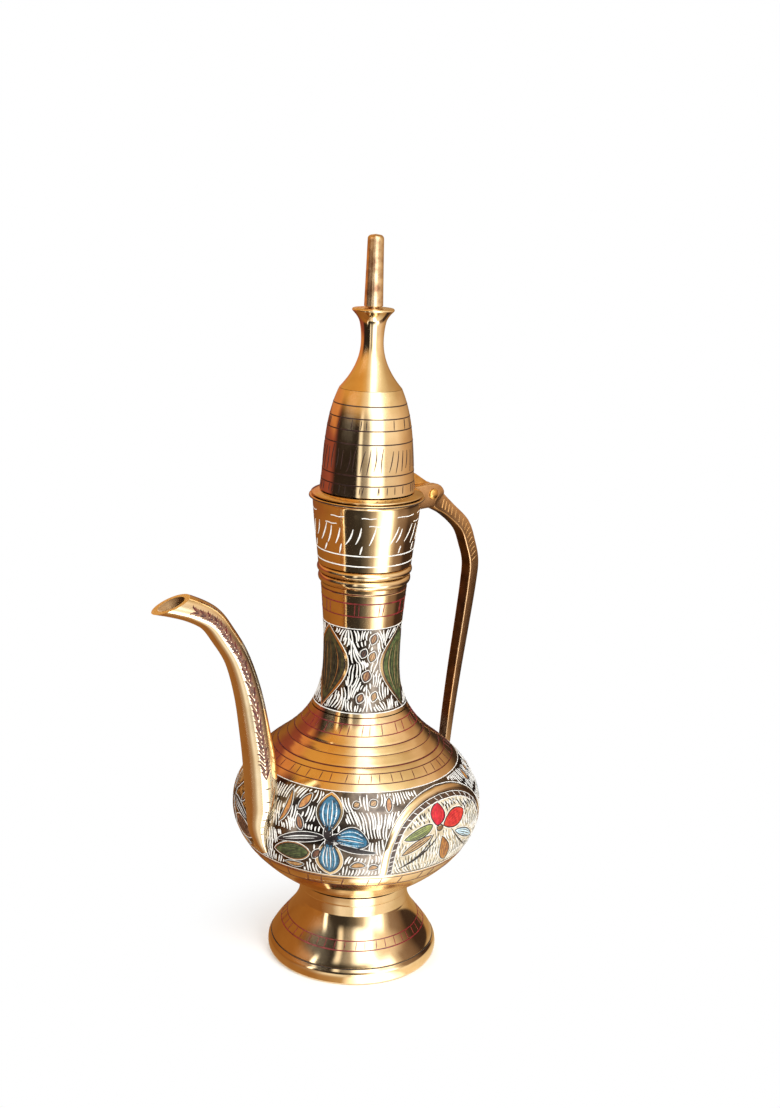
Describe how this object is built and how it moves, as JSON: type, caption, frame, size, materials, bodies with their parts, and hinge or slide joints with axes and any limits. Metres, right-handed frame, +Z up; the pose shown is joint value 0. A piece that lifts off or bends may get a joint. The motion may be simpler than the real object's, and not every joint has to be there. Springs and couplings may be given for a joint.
{
  "type": "lidded jug",
  "caption": "Tall brass jug on a flared foot, with a round belly, waisted neck, bent spout, bar handle and a domed lid that turns back on a hinge pin.",
  "frame": {"origin": "on the surface the jug stands on, at the middle of its length from spout tip to handle", "axes": "+Z up along the jug, -X towards the spout, +X towards the handle"},
  "size_m": [0.1321, 0.0792, 0.23],
  "materials": {
    "body_brass": "polished",
    "lid_brass": "polished",
    "fitting_brass": "polished",
    "hinge_brass": "satin"
  },
  "bodies": {
    "jug": {"foot": "body_brass", "lower_bowl": "body_brass", "upper_bowl": "body_brass", "neck": "body_brass", "neck_bead_lower": "fitting_brass", "neck_bead_upper": "fitting_brass", "mouth_cup": "body_brass", "spout": "fitting_brass", "handle": "fitting_brass", "hinge_pin": "hinge_brass"},
    "lid": {"lid_rim": "lid_brass", "lid_dome": "lid_brass", "lid_tongue": "hinge_brass", "lid_stem": "lid_brass", "finial": "lid_brass"}
  },
  "joints": [
    {"name": "lid_hinge", "type": "hinge", "parent": "jug", "child": "lid", "pos_m": [0.0411, 0, 0.1492], "axis": [0, 1, 0], "range_deg": [0, 105]}
  ]
}
